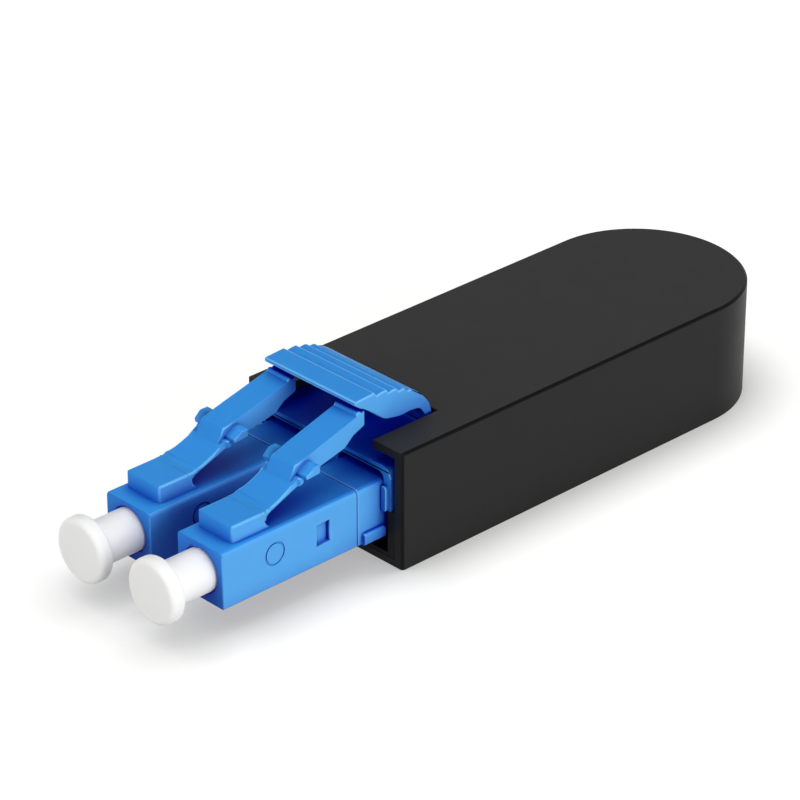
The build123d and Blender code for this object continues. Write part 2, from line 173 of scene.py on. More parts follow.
def noise(tree: Tree, grain: float, detail: float = 3.0, stretch: Triple = (1.0, 1.0, 1.0)) -> Socket:
    """Adds a noise that follows the piece's own coordinates.

    Args:
        tree: the material's nodes.
        grain: size of one blotch, in metres.
        detail: how many finer layers the noise has.
        stretch: how much finer the noise is along each axis.

    Returns:
        The noise's strength, about 0.5 in the middle.
    """
    mapping = tree.nodes.new("ShaderNodeMapping")
    mapping.inputs["Scale"].default_value = stretch
    tree.links.new(own_place(tree), mapping.inputs["Vector"])
    texture = tree.nodes.new("ShaderNodeTexNoise")
    texture.inputs["Scale"].default_value = 1.0 / grain
    texture.inputs["Detail"].default_value = detail
    tree.links.new(mapping.outputs["Vector"], texture.inputs["Vector"])
    return texture.outputs["Fac"]


def ranged(tree: Tree, value: Socket, source: Range = (0.0, 1.0), target: Range = (0.0, 1.0)) -> Socket:
    """Carries a value from one range to another, and holds it at the ends.

    Args:
        tree: the nodes.
        value: the value.
        source: the range that it comes from.
        target: the range that it goes to.

    Returns:
        The carried value.
    """
    node = tree.nodes.new("ShaderNodeMapRange")
    node.inputs["From Min"].default_value, node.inputs["From Max"].default_value = source
    node.inputs["To Min"].default_value, node.inputs["To Max"].default_value = target
    tree.links.new(value, node.inputs["Value"])
    return node.outputs["Result"]


def reckon(tree: Tree, operation: str, one: Socket, other: Socket) -> Socket:
    """Works out one value from two.

    Args:
        tree: the nodes.
        operation: what is done, by Blender's name for it.
        one: the first value.
        other: the second value.

    Returns:
        The result.
    """
    node = tree.nodes.new("ShaderNodeMath")
    node.operation = operation
    tree.links.new(one, node.inputs[0])
    tree.links.new(other, node.inputs[1])
    return node.outputs["Value"]


def tint(tree: Tree, amount: Socket, one: Colour | Socket, other: Colour | Socket) -> Socket:
    """Mixes two colours.

    Args:
        tree: the nodes.
        amount: the share of the other colour.
        one: the first colour.
        other: the other colour.

    Returns:
        The mixed colour.
    """
    mix = tree.nodes.new("ShaderNodeMix")
    mix.data_type = "RGBA"
    tree.links.new(amount, mix.inputs["Factor"])
    for name, colour in (("A", one), ("B", other)):
        if isinstance(colour, Socket):
            tree.links.new(colour, mix.inputs[name])
        else:
            mix.inputs[name].default_value = (*colour, 1.0)
    return mix.outputs["Result"]


def relief(tree: Tree, height: Socket, depth: float, base: Socket | None = None) -> Socket:
    """Turns a height into a fine relief of the surface.

    Args:
        tree: the material's nodes.
        height: the height, from 0 to 1.
        depth: what a height of 1 stands for, in metres.
        base: a relief that this one lies on.

    Returns:
        The changed normal.
    """
    bump = tree.nodes.new("ShaderNodeBump")
    bump.inputs["Strength"].default_value = 1.0
    bump.inputs["Distance"].default_value = depth
    tree.links.new(height, bump.inputs["Height"])
    if base is not None:
        tree.links.new(base, bump.inputs["Normal"])
    return bump.outputs["Normal"]


def openness(tree: Tree, reach: float) -> Socket:
    """Tells how open the surface lies.

    Args:
        tree: the material's nodes.
        reach: how far off a surface still shades this one, in metres.

    Returns:
        1 in the open, and near 0 deep in a crevice.
    """
    node = tree.nodes.new("ShaderNodeAmbientOcclusion")
    node.samples = OPENNESS_SAMPLES
    node.inputs["Distance"].default_value = reach
    return node.outputs["AO"]


def shown(tree: Tree) -> Socket:
    """Tells which rays show a background: those of the camera, of gloss and of clear pieces.

    Args:
        tree: the background's nodes.

    Returns:
        1 on such a ray, and 0 on a ray of diffuse light.
    """
    path = tree.nodes.new("ShaderNodeLightPath")
    seen = path.outputs["Is Camera Ray"]
    for other in ("Is Glossy Ray", "Is Transmission Ray"):
        seen = reckon(tree, "MAXIMUM", seen, path.outputs[other])
    return seen


@dataclass(frozen=True)
class Moulding:
    """A moulded plastic or rubber: its colour drifts a little, and a fine texture covers it.

    Where it has a glow, light spreads a little under its surface. The painted shading colour is painted
    light or shade on the faces that carry it, and the painted crevice shade darkens the colour where the
    surface lies enclosed by others."""

    name: str
    colour: Colour
    drift: Colour
    roughness: Range
    gloss: float
    texture_grain: float
    texture_depth: float
    cloud_grain: float = 4.0 * MM
    wave_depth: float = 0.0
    wave_grain: float = 5.0 * MM
    glow_depth: float = 0.0
    glow_share: float = 0.0
    glow_spread: Colour = (1.0, 1.0, 1.0)
    painted_shading_colour: Colour | None = None
    painted_crevice_shade: Colour | None = None
    painted_shade_reach: float = 3.0 * MM

    def shade(self, tree: Tree) -> Socket:
        """Works out the colour over the piece.

        Args:
            tree: the material's nodes.

        Returns:
            The colour, with its drift, its tones and its crevices.
        """
        colour = tint(tree, noise(tree, self.cloud_grain), self.colour, self.drift)
        # Painted light or shade, as much as the faces' attribute asks for
        if self.painted_shading_colour:
            attribute = tree.nodes.new("ShaderNodeAttribute")
            attribute.attribute_name = PAINTED_SHADING_ATTRIBUTE
            colour = tint(tree, attribute.outputs["Fac"], colour, self.painted_shading_colour)
        # Painted shade: the colour darkens towards the crevice colour where the surface lies enclosed
        if self.painted_crevice_shade:
            share = ranged(tree, openness(tree, self.painted_shade_reach), PAINTED_SHADE_RANGE)
            colour = tint(tree, share, self.painted_crevice_shade, colour)
        return colour

    def material(self) -> bpy.types.Material:
        """Makes the finish.

        Returns:
            The material.
        """
        material, tree, shader = node_tree(self.name)
        tree.links.new(self.shade(tree), shader.inputs["Base Color"])
        patch = noise(tree, self.cloud_grain / PATCHES_PER_CLOUD, detail=4.0)
        tree.links.new(ranged(tree, patch, NOISE_RANGE, self.roughness), shader.inputs["Roughness"])
        shader.inputs["Specular IOR Level"].default_value = self.gloss
        if self.glow_share:
            shader.inputs["Subsurface Weight"].default_value = self.glow_share
            shader.inputs["Subsurface Radius"].default_value = self.glow_spread
            shader.inputs["Subsurface Scale"].default_value = self.glow_depth
        normal = relief(tree, noise(tree, self.texture_grain), self.texture_depth)
        if self.wave_depth:
            normal = relief(tree, noise(tree, self.wave_grain, detail=1.0), self.wave_depth, normal)
        tree.links.new(normal, shader.inputs["Normal"])
        return material


@dataclass(frozen=True)
class Metal:
    """A drawn or turned metal with fine lines round its axis, which lies along Y."""

    name: str
    colour: Colour
    drift: Colour
    roughness: Range
    line_grain: float
    line_depth: float
    line_stretch: Triple = (0.1, 1.0, 0.1)

    def material(self) -> bpy.types.Material:
        """Makes the finish.

        Returns:
            The material.
        """
        material, tree, shader = node_tree(self.name)
        shader.inputs["Metallic"].default_value = 1.0
        lines = noise(tree, self.line_grain, stretch=self.line_stretch)
        tree.links.new(tint(tree, lines, self.colour, self.drift), shader.inputs["Base Color"])
        tree.links.new(ranged(tree, lines, NOISE_RANGE, self.roughness), shader.inputs["Roughness"])
        tree.links.new(relief(tree, lines, self.line_depth), shader.inputs["Normal"])
        return material


# The sleeve's tone colour is painted shade, which darkens its walls and most of all its slanted edges and
# mouth corners
BLACK_SLEEVE = Moulding(
    "black_sleeve", colour=(0.0310, 0.0310, 0.0312), drift=(0.0345, 0.0345, 0.0347),
    roughness=(0.44, 0.48), gloss=0.10, texture_grain=0.10 * MM, texture_depth=0.0015 * MM,
    wave_depth=0.003 * MM, painted_shading_colour=(0.0035, 0.0035, 0.0035))
BLACK_TRAY = Moulding(
    "black_tray", colour=(0.010, 0.010, 0.010), drift=(0.013, 0.013, 0.013),
    roughness=(0.50, 0.60), gloss=0.10, texture_grain=0.08 * MM, texture_depth=0.002 * MM)
# The blue's pale tone colour is a painted highlight on rounded edges and sideways faces; its crevice colour
# is painted shade
BLUE_PLUG = Moulding(
    "blue_plug", colour=(0.034, 0.288, 0.775), drift=(0.038, 0.300, 0.795),
    roughness=(0.34, 0.42), gloss=0.07, texture_grain=0.06 * MM, texture_depth=0.0006 * MM,
    wave_depth=0.003 * MM, glow_depth=0.5 * MM, glow_share=0.25, glow_spread=(0.05, 0.25, 1.0),
    painted_shading_colour=(0.16, 0.50, 0.92), painted_crevice_shade=(0.0, 0.010, 0.44), painted_shade_reach=4.2 * MM)
WHITE_CAP = Moulding(
    "white_cap_plastic", colour=(0.96, 0.96, 0.96), drift=(0.98, 0.98, 0.98),
    roughness=(0.42, 0.52), gloss=0.50, texture_grain=0.08 * MM, texture_depth=0.001 * MM,
    glow_depth=0.3 * MM, glow_share=0.3)
WHITE_CERAMIC = Moulding(
    "white_ceramic_pin", colour=(0.86, 0.86, 0.83), drift=(0.89, 0.89, 0.86),
    roughness=(0.12, 0.18), gloss=0.65, texture_grain=0.05 * MM, texture_depth=0.0002 * MM)
BOOT_RUBBER = Moulding(
    "boot_rubber_soft", colour=(0.012, 0.11, 0.42), drift=(0.016, 0.13, 0.47),
    roughness=(0.60, 0.72), gloss=0.25, texture_grain=0.07 * MM, texture_depth=0.002 * MM)
FIBRE_JACKET = Moulding(
    "fibre_jacket", colour=(0.86, 0.56, 0.03), drift=(0.92, 0.62, 0.05),
    roughness=(0.38, 0.46), gloss=0.40, texture_grain=0.10 * MM, texture_depth=0.001 * MM)
NICKEL = Metal(
    "nickel_plate", colour=(0.66, 0.63, 0.56), drift=(0.74, 0.71, 0.64),
    roughness=(0.22, 0.34), line_grain=0.05 * MM, line_depth=0.0008 * MM)
SPRING_STEEL = Metal(
    "spring_steel", colour=(0.52, 0.52, 0.53), drift=(0.60, 0.60, 0.61),
    roughness=(0.20, 0.30), line_grain=0.03 * MM, line_depth=0.0006 * MM)


class Finishes:
    """The materials, each made once and shared by the pieces that have it."""

    def __init__(self) -> None:
        """Starts with no material made."""
        self.made: dict[str, bpy.types.Material] = {}

    def of(self, finish: Moulding | Metal) -> bpy.types.Material:
        """Gives a finish's material.

        Args:
            finish: the finish.

        Returns:
            Its material.
        """
        if finish.name not in self.made:
            self.made[finish.name] = finish.material()
        return self.made[finish.name]


def placed(name: str, data: bpy.types.ID) -> bpy.types.Object:
    """Puts an object into the scene.

    Args:
        name: its name.
        data: its mesh, lamp or camera.

    Returns:
        The object.
    """
    item = bpy.data.objects.new(name, data)
    bpy.context.scene.collection.objects.link(item)
    return item


def select_only(piece: bpy.types.Object) -> None:
    """Makes one object the only selected and the active one.

    Args:
        piece: the object.
    """
    bpy.ops.object.select_all(action="DESELECT")
    piece.select_set(True)
    bpy.context.view_layer.objects.active = piece


def open_for_shaping(piece: bpy.types.Object, facing: float) -> None:
    """Opens a new primitive in edit mode, with the faces that look along Y selected.

    Args:
        piece: the primitive, which is selected and active.
        facing: 1 for the faces that look along +Y, and -1 for those that look along -Y.
    """
    bpy.ops.object.transform_apply(location=True, rotation=True, scale=True)
    for part in (*piece.data.vertices, *piece.data.edges):
        part.select = False
    for face in piece.data.polygons:
        face.select = face.normal.y * facing > FACING
    bpy.ops.object.mode_set(mode="EDIT")
    bpy.ops.mesh.select_mode(type="FACE")


def round_edges(piece: bpy.types.Object, width: float, segments: int = ROUND_SEGMENTS,
                weighted: bool = True) -> None:
    """Rounds a piece's edges, and marks the new faces if the piece has a material slot for that.

    Args:
        piece: the piece, which is the active object.
        width: how wide the rounding is, in metres.
        segments: how many faces it has across.
        weighted: if only the edges that carry a weight are rounded, each by its weight.
    """
    bevel = piece.modifiers.new("soft_edges", "BEVEL")
    bevel.width = width
    bevel.segments = segments
    if len(piece.data.materials) > ROUNDED:
        bevel.material = ROUNDED
    if weighted:
        bevel.limit_method = "WEIGHT"
        bevel.use_clamp_overlap = False
    bpy.ops.object.modifier_apply(modifier=bevel.name)


def smooth() -> None:
    """Shades the active object smooth, except at its sharp edges."""
    bpy.ops.object.shade_smooth_by_angle(angle=math.radians(SMOOTH_BELOW))


def reach_of(face: bmesh.types.BMFace, edge: bmesh.types.BMEdge) -> float:
    """How far a face reaches across one of its edges, at the nearest.

    Args:
        face: a flat face.
        edge: one of its edges.

    Returns:
        The distance, in metres.
    """
    start = edge.verts[0].co
    along = edge.verts[1].co - start
    length = along.length
    along = along / length
    across = face.normal.cross(along)
    nearest = math.inf
    middle = length / 2
    for loop in face.loops:
        if loop.edge is edge:
            continue
        ends = [((v.co - start).dot(along), abs((v.co - start).dot(across))) for v in loop.edge.verts]
        (a, high_a), (b, high_b) = ends
        for place, height in ends:
            if -NEAR < place < length + NEAR and height > NEAR:
                nearest = min(nearest, height)
        if min(a, b) < middle < max(a, b):
            nearest = min(nearest, high_a + (high_b - high_a) * (middle - a) / (b - a))
    return nearest


def roomy(edge: bmesh.types.BMEdge, width: float) -> bool:
    """Tells whether an outer edge is sharp and has room for a rounding.

    Args:
        edge: the edge.
        width: the rounding's width, in metres.

    Returns:
        True where the edge can be rounded.
    """
    if len(edge.link_faces) != 2 or not edge.is_convex:
        return False
    if edge.calc_face_angle(0.0) < math.radians(SHARP_ABOVE):
        return False
    if min(reach_of(face, edge) for face in edge.link_faces) < ROOM_ACROSS * width:
        return False
    run = (edge.verts[1].co - edge.verts[0].co).normalized()
    for vert in edge.verts:
        for other in vert.link_edges:
            if other is edge:
                continue
            line = (other.verts[1].co - other.verts[0].co).normalized()
            if abs(line.dot(run)) < IN_LINE and other.calc_length() < ROOM_ALONG * width:
                return False
    return True


@dataclass(frozen=True)
class Hinge:
    """Where a springy piece grows out of its carrier and is cut across.

    The seat is a point on the seam between them, and inward is the direction into the carrier."""

    carrier: str
    seat: Vector
    inward: Vector
    reach: float = 0.35 * MM
    swell: float = 0.003 * MM
    cuts: int = 6
    seam_facing: float = 0.99
    seam_within: float = 0.1 * MM

    def grow(self, mesh: bmesh.types.BMesh) -> None:
        """Lengthens the piece into its carrier and cuts it across, so that it can bend.

        Args:
            mesh: the piece's mesh, with its doubles merged.
        """
        seam = [face for face in mesh.faces if face.normal.dot(self.inward) > self.seam_facing
                and abs((face.calc_center_median() - self.seat).dot(self.inward)) < self.seam_within]
        verts = list({vert for face in seam for vert in face.verts})
        middle = sum((vert.co for vert in verts), Vector()) / len(verts)
        for vert in verts:
            off = vert.co - middle
            off -= self.inward * off.dot(self.inward)
            vert.co += Vector([math.copysign(self.swell, side) if abs(side) > NEAR else 0.0 for side in off])
        grown = bmesh.ops.extrude_face_region(mesh, geom=seam)
        for vert in grown["geom"]:
            if isinstance(vert, bmesh.types.BMVert):
                vert.co += self.inward * self.reach
        for index in range(1, self.cuts):
            place = self.seat + self.inward * self.reach * (1 - 2 * index / self.cuts)
            geometry = [*mesh.verts, *mesh.edges, *mesh.faces]
            bmesh.ops.bisect_plane(mesh, geom=geometry, dist=NEAR, plane_co=place, plane_no=self.inward)

    def bend(self, piece: bpy.types.Object, body: str) -> None:
        """Bakes the piece's placement into its mesh."""
        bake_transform(piece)


@dataclass(frozen=True)
class TopRim:
    """The long edges at the top of a piece's side walls, which are rounded more than the others."""

    height: float
    width: float
    shortest: float = 1.0 * MM

    def holds(self, edge: bmesh.types.BMEdge) -> bool:
        """Tells whether an edge is one of them and has room for its rounding.

        Args:
            edge: the edge.

        Returns:
            True where the edge runs along Y at the rim's height.
        """
        first, second = (vert.co for vert in edge.verts)
        level = abs(first.z - self.height) < LEVEL_WITHIN and abs(second.z - self.height) < LEVEL_WITHIN
        straight = abs(first.x - second.x) < LEVEL_WITHIN
        return level and straight and edge.calc_length() > self.shortest and roomy(edge, self.width)


@dataclass(frozen=True)
class Softening:
    """How a copy of a frame node is softened.

    The edge is the width of its roundings, and their faces get the painted edge highlight. The painted
    shading gives a face's own painted light or shade from its normal. The hinge is where the copy is grown
    into its carrier and cut across, if it is."""

    edge: float
    painted_edge_highlight: float = 0.0
    painted_shading: Callable[[Vector], float] | None = None
    hinge: Hinge | None = None
    rim: TopRim | None = None

    def prepare(self, data: bpy.types.Mesh) -> None:
        """Cleans the copy's mesh, weighs the edges that are rounded and gives the faces their painted light
        or shade.

        Args:
            data: the copy's mesh.
        """
        mesh = bmesh.new()
        mesh.from_mesh(data)
        bmesh.ops.remove_doubles(mesh, verts=mesh.verts, dist=MERGE_BELOW)
        bmesh.ops.dissolve_limit(mesh, angle_limit=math.radians(FLAT_BELOW), verts=mesh.verts,
                                 edges=mesh.edges)
        if self.hinge:
            self.hinge.grow(mesh)
        mesh.normal_update()
        weight = mesh.edges.layers.float.new("bevel_weight_edge")
        for line in mesh.edges:
            if self.rim and self.rim.holds(line):
                line[weight] = 1.0
            else:
                line[weight] = self.edge / self.widest() if roomy(line, self.edge) else 0.0
        layer = mesh.faces.layers.float.new(PAINTED_SHADING_ATTRIBUTE)
        for face in mesh.faces:
            face[layer] = self.painted_shading(face.normal) if self.painted_shading else 0.0
        mesh.to_mesh(data)
        mesh.free()

    def widest(self) -> float:
        """Gives the widest rounding, in metres."""
        return self.rim.width if self.rim else self.edge

    def soften(self, piece: bpy.types.Object, material: bpy.types.Material) -> None:
        """Rounds the copy's edges and gives them their painted highlight.

        Args:
            piece: the copy, with its mesh prepared, as the active object.
            material: its material.
        """
        piece.data.materials.clear()
        for _ in range(ROUNDED + 1):
            piece.data.materials.append(material)
        smooth()
        round_edges(piece, self.widest())
        even = piece.modifiers.new("even_normals", "WEIGHTED_NORMAL")
        even.mode = "FACE_AREA"
        even.weight = EVEN_WEIGHT
        even.keep_sharp = True
        bpy.ops.object.modifier_apply(modifier=even.name)
        painted_values = piece.data.attributes[PAINTED_SHADING_ATTRIBUTE].data
        for face in piece.data.polygons:
            # Rounded faces get the painted edge highlight
            if face.material_index == ROUNDED and self.painted_edge_highlight:
                painted_values[face.index].value = self.painted_edge_highlight
            face.material_index = 0
        piece.data.materials.pop()


@dataclass
class Workshop:
    """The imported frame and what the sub-assemblies share."""

    frame: dict[str, Any]
    finishes: Finishes = field(default_factory=Finishes)

    def coat(self, piece: bpy.types.Object, finish: Moulding | Metal) -> None:
        """Gives a piece its finish, in place of what it had.

        Args:
            piece: the piece.
            finish: its finish.
        """
        piece.data.materials.clear()
        piece.data.materials.append(self.finishes.of(finish))

    def body_of(self, node: str) -> str:
        """Gives the name of the body that a frame node belongs to."""
        return self.frame["nodes"][node]["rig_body"]

    def copy_of(self, node: str) -> bpy.types.Object:
        """Makes a copy of a frame node with a mesh of its own."""
        return placed(node + "_skin", self.frame["nodes"][node].data.copy())

    def dress(self, node: str, finish: Moulding | Metal) -> None:
        """Gives a frame node its finish, with its shape as it is.

        Args:
            node: the node's name.
            finish: its finish.
        """
        self.coat(self.frame["nodes"][node], finish)
        LOG.info("dressed %s in %s", node, finish.name)

    def stand_in(self, node: str, finish: Moulding | Metal) -> bpy.types.Object:
        """Makes a copy of a frame node that stands for it, with a mesh of its own.

        Args:
            node: the node's name.
            finish: the copy's finish.

        Returns:
            The copy.
        """
        piece = self.copy_of(node)
        self.coat(piece, finish)
        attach(piece, self.body_of(node))
        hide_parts(node)
        LOG.info("copied %s in %s", node, finish.name)
        return piece

    def skin(self, node: str, finish: Moulding | Metal, softening: Softening) -> None:
        """Makes a copy of a frame node with softly rounded edges, which stands for it.

        Args:
            node: the node's name.
            finish: the copy's finish.
            softening: how its edges are rounded and which faces get painted light or shade.
        """
        piece = self.copy_of(node)
        select_only(piece)
        softening.prepare(piece.data)
        softening.soften(piece, self.finishes.of(finish))
        if softening.hinge:
            softening.hinge.bend(piece, self.body_of(node))
        else:
            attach(piece, self.body_of(node))
        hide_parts(node)
        LOG.info("skinned %s, %d faces", node, len(piece.data.polygons))


def painted_side_light(normal: Vector) -> float:
    """The blue pieces get painted light, which makes the faces that look sideways a little paler."""
    return PAINTED_SIDE_LIGHT if abs(normal.x) > SIDEWAYS else 0.0


@dataclass
class Sleeve:
    """The black sleeve and the tray inside it."""

    edge: float = 0.04 * MM
    # Share of painted shade on the walls; the slanted edges and mouth corners get all of it
    painted_wall_shade: float = 0.60
    slant: Range = (0.2, 0.95)
    corner: float = 0.3

    def painted_shading(self, normal: Vector) -> float:
        """Painted shade makes the sleeve's narrow slanted edges and the mouth's corner faces darkest, and
        its walls darker than its top.

        Args:
            normal: the direction in which a face looks.

        Returns:
            The face's share of painted shade.
        """
        slanted = self.slant[0] < abs(normal.z) < self.slant[1]
        at_corner = normal.y < -self.corner and abs(normal.x) > self.corner
        if slanted or at_corner:
            return 1.0
        return 0.0 if normal.z > FACING else self.painted_wall_shade

    def build(self, shop: Workshop) -> None:
        """Dresses the sleeve's pieces."""
        shop.skin("housing_shell", BLACK_SLEEVE, Softening(self.edge, painted_shading=self.painted_shading))
        shop.skin("inner_tray", BLACK_TRAY, Softening(self.edge))


@dataclass
class Clip:
    """The bridge over the plugs, its web and its ribbed trigger."""

    bridge_edge: float = 0.06 * MM
    trigger_edge: float = 0.08 * MM
    # Share of painted highlight on the rounded edges
    painted_edge_highlight: float = 1.0
    web_front: float = 0.55 * MM
    web_depth: float = 0.60 * MM
    web_drop: float = 2.40 * MM
    web_rise: float = 0.48 * MM
    web_gap: float = 0.06 * MM
    web_round: float = 0.10 * MM
    web_rim: float = 0.30 * MM
    web_hollow: float = 0.15 * MM

    def build(self, shop: Workshop) -> None:
        """Dresses the clip's pieces and adds its web.

        Args:
            shop: the frame and the finishes.
        """
        self.build_web(shop)
        shop.skin("duplex_clip", BLUE_PLUG,
                  Softening(self.bridge_edge, self.painted_edge_highlight, painted_shading=painted_side_light))
        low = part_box("clip_trigger")[0]
        foot = Hinge("module", Vector((0.0, 0.0, low[2])), Vector((0.0, 0.0, -1.0)))
        shop.skin("clip_trigger", BLUE_PLUG,
                  Softening(self.trigger_edge, self.painted_edge_highlight, painted_shading=painted_side_light, hinge=foot))

    def build_web(self, shop: Workshop) -> None:
        """Hangs the clip's web from its roof, between the two plugs.

        Args:
            shop: the frame and the finishes.
        """
        plug_low, plug_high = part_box("rear_body_b")
        clip_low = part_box("duplex_clip")[0]
        half = plug_low[0] - self.web_gap
        middle = clip_low[1] + self.web_front + self.web_depth / 2
        height = self.web_drop + self.web_rise
        bpy.ops.object.select_all(action="DESELECT")
        bpy.ops.mesh.primitive_cube_add(
            size=1.0, location=(0.0, middle, plug_high[2] + self.web_rise - height / 2),
            scale=(2 * half, self.web_depth, height))
        web = bpy.context.object
        web.name = "clip_web"
        open_for_shaping(web, -1.0)
        bpy.ops.mesh.inset(thickness=self.web_rim, depth=-self.web_hollow)
        bpy.ops.object.mode_set(mode="OBJECT")
        round_edges(web, self.web_round, weighted=False)
        smooth()
        shop.coat(web, BLUE_PLUG)
        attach(web, "module")
        LOG.info("built %s, %d faces", web.name, len(web.data.polygons))


@dataclass
class DustCap:
    """A plug's dust cap: a disc with soft rims on a shaft with a blind bore."""

    node: str
    pin: str
    head: float = 1.0 * MM
    shaft: float = 1.36 * MM
    bore_fit: float = 0.03 * MM
    pin_gap: float = 0.05 * MM
    sides: int = 96
    rim_segments: int = 6
    front_rim: float = 0.36 * MM
    back_rim: float = 0.30 * MM
    neck: float = 0.26 * MM
    end_rim: float = 0.08 * MM
    rim_within: float = 0.02 * MM

    def build(self, shop: Workshop) -> None:
        """Turns the cap and sets it in the frame's place for it.

        Args:
            shop: the frame and the finishes.
        """
        low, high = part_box(self.node)
        pin_low, pin_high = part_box(self.pin)
        middle = (low + high) / 2
        radius = (high[0] - low[0]) / 2
        bore = (pin_high[0] - pin_low[0]) / 2 + self.bore_fit
        bpy.ops.object.select_all(action="DESELECT")
        bpy.ops.mesh.primitive_cylinder_add(
            vertices=self.sides, radius=radius, depth=self.head,
            location=(middle[0], low[1] + self.head / 2, middle[2]), rotation=(math.pi / 2, 0.0, 0.0))
        cap = bpy.context.object
        cap.name = self.node + "_turned"
        open_for_shaping(cap, 1.0)
        bpy.ops.mesh.inset(thickness=radius - self.shaft)
        self.push(high[1] - low[1] - self.head)
        bpy.ops.mesh.inset(thickness=self.shaft - bore)
        self.push(pin_low[1] - self.pin_gap - high[1])
        bpy.ops.object.mode_set(mode="OBJECT")
        back = low[1] + self.head
        self.weigh(cap.data, middle, (
            (low[1], radius, self.front_rim), (back, radius, self.back_rim),
            (back, self.shaft, self.neck), (high[1], self.shaft, self.end_rim),
            (high[1], bore, self.end_rim)))
        round_edges(cap, self.front_rim, self.rim_segments)
        smooth()
        shop.coat(cap, WHITE_CAP)
        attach(cap, shop.body_of(self.node))
        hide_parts(self.node)
        LOG.info("turned %s, %d faces", self.node, len(cap.data.polygons))

    def push(self, length: float) -> None:
        """Extrudes the selected face along the cap's axis."""
        bpy.ops.mesh.extrude_region_move(TRANSFORM_OT_translate={"value": (0.0, length, 0.0)})

    def weigh(self, mesh: bpy.types.Mesh, middle: Vector, rims: tuple[Triple, ...]) -> None:
        """Marks the cap's rims for rounding.

        Args:
            mesh: the cap's mesh.
            middle: a point on the cap's axis.
            rims: each rim's place along the axis, its radius and its rounding.
        """
        weights = mesh.attributes.new("bevel_weight_edge", "FLOAT", "EDGE")
        for edge in mesh.edges:
            ends = [mesh.vertices[index].co for index in edge.vertices]
            for place, radius, rounding in rims:
                if all(abs(end.y - place) < LEVEL_WITHIN
                       and abs(math.hypot(end.x - middle[0], end.z - middle[2]) - radius) < self.rim_within
                       for end in ends):
                    weights.data[edge.index].value = rounding / self.front_rim


@dataclass
class Plug:
    """One plug, from its dust cap to its boot."""

    side: Side
    body_edge: float = 0.12 * MM
    top_edge: float = 0.30 * MM
    latch_edge: float = 0.10 * MM
    # Share of painted highlight on the rounded edges
    painted_edge_highlight: float = 0.85
    ferrule_travel: float = 0.50 * MM

    def node(self, name: str) -> str:
        """Gives the name of this plug's node."""
        return name + "_" + self.side.value

    def build(self, shop: Workshop) -> None:
        """Dresses the plug's pieces.

        Args:
            shop: the frame and the finishes.
        """
        self.build_bodies(shop)
        DustCap(self.node("dust_cap"), self.node("ferrule")).build(shop)
        shop.dress(self.node("ferrule"), WHITE_CERAMIC)
        shop.dress(self.node("ferrule_flange"), NICKEL)
        self.build_spring(shop)
        shop.dress(self.node("fibre_boot"), BOOT_RUBBER)

    def build_bodies(self, shop: Workshop) -> None:
        """Dresses the plug's two bodies and its latch, which is grown into its root and cut across there.

        Args:
            shop: the frame and the finishes.
        """
        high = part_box(self.node("rear_body"))[1]
        rim = TopRim(height=high[2], width=self.top_edge)
        for body in ("front_body", "rear_body"):
            shop.skin(self.node(body), BLUE_PLUG,
                      Softening(self.body_edge, self.painted_edge_highlight, painted_shading=painted_side_light, rim=rim))
        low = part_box(self.node("latch"))[0]
        root = Hinge("module", Vector((0.0, low[1], 0.0)), Vector((0.0, -1.0, 0.0)))
        shop.skin(self.node("latch"), BLUE_PLUG,
                  Softening(self.latch_edge, self.painted_edge_highlight, painted_shading=painted_side_light, hinge=root))

    def build_spring(self, shop: Workshop) -> None:
        """Makes the spring's copy, which stands for it.

        Args:
            shop: the frame and the finishes.
        """
        spring = shop.stand_in(self.node("ferrule_spring"), SPRING_STEEL)
        low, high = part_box(self.node("ferrule_spring"))
        self.node("ferrule_float")
        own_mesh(spring)


@dataclass
class FibreTurn:
    """The fibre that joins the plugs."""

    def build(self, shop: Workshop) -> None:
        """Dresses the fibre."""
        shop.dress("fibre_loop", FIBRE_JACKET)


def aim(item: bpy.types.Object, target: Vector, azimuth: float, elevation: float, distance: float) -> None:
    """Places a lamp or a camera so that it looks at a point.

    Args:
        item: the lamp or camera.
        target: the point.
        azimuth: its bearing from the point, in degrees; 0 is in front, at -Y, and 90 at +X.
        elevation: its height above the point, in degrees.
        distance: how far off it is, in metres.
    """
    a = math.radians(azimuth)
    e = math.radians(elevation)
    back = Vector((math.sin(a) * math.cos(e), -math.cos(a) * math.cos(e), math.sin(e)))
    item.location = target + back * distance
    item.rotation_euler = (-back).to_track_quat("-Z", "Y").to_euler()


@dataclass(frozen=True)
class Softbox:
    """A square lamp that faces the object.

    At level 1 it alone would show a white surface that faces it as white."""

    name: str
    azimuth: float
    elevation: float
    distance: float
    width: float
    level: float

    def build(self, target: Vector) -> None:
        """Hangs the lamp.

        Args:
            target: the point that it faces.
        """
        lamp = bpy.data.lights.new(self.name, "AREA")
        lamp.shape = "SQUARE"
        lamp.size = self.width
        lamp.energy = self.level * math.pi ** 2 * self.distance ** 2
        aim(placed(self.name, lamp), target, self.azimuth, self.elevation, self.distance)


